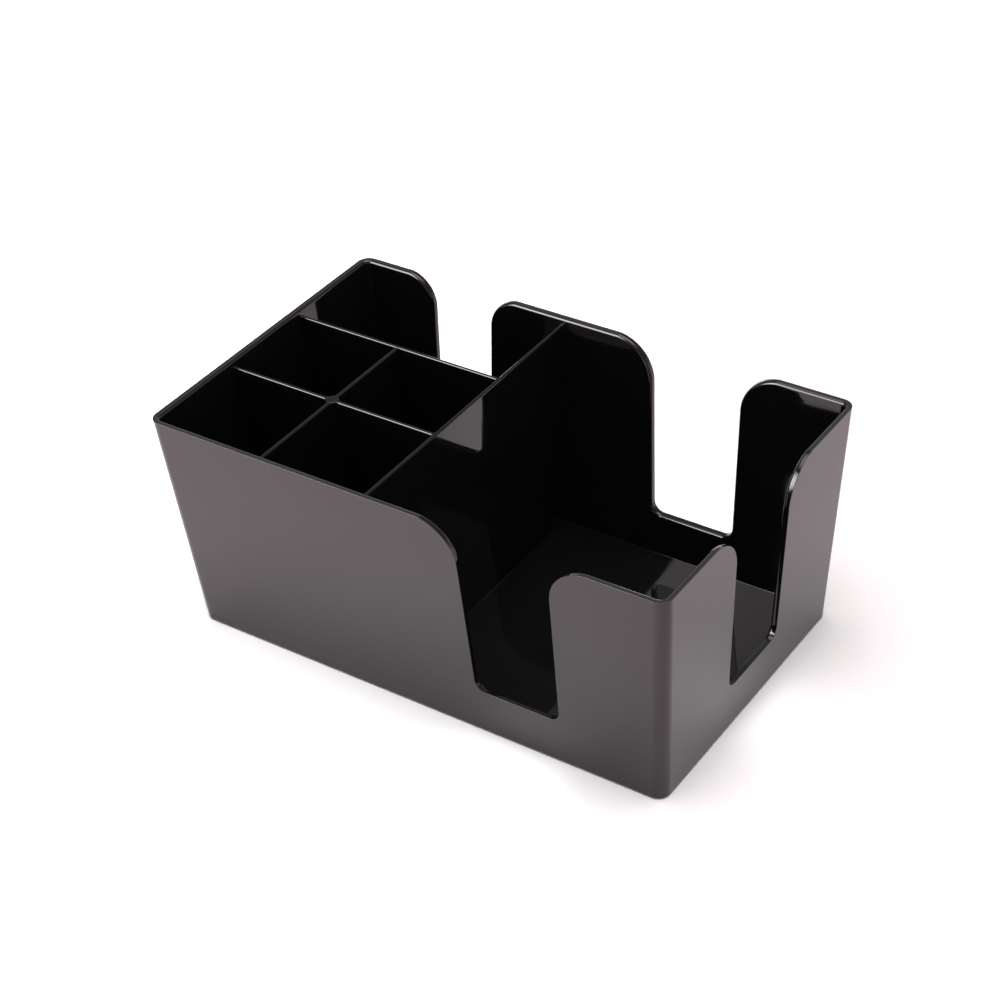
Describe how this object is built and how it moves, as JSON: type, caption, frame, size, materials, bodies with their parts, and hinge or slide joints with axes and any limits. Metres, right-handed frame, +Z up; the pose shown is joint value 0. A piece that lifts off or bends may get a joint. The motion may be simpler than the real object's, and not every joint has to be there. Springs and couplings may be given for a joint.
{
  "type": "bar caddy",
  "caption": "Drafted open tub with finger cut-outs, a napkin bay, a straw trough and divided cells for stirrers and picks, on soft feet.",
  "frame": {"origin": "middle of the footprint, on the plane that the feet stand on", "axes": "+X along the length, from the divided cells towards the napkin bay; +Y across, towards the wall with the straw trough's cut-out; +Z up, out of the open top"},
  "size_m": [0.24, 0.147, 0.1029],
  "materials": {
    "body_plastic": "polished black moulded plastic",
    "divider_plastic": "polished black moulded plastic",
    "foot_rubber": "matt black rubber"
  },
  "bodies": {
    "root": {"tub": "body_plastic", "main_divider": "divider_plastic", "straw_divider": "divider_plastic", "long_cell_divider": "divider_plastic", "cross_cell_divider": "divider_plastic", "crossing_post": "divider_plastic", "foot_front_left": "foot_rubber", "foot_front_right": "foot_rubber", "foot_back_left": "foot_rubber", "foot_back_right": "foot_rubber"}
  },
  "joints": []
}
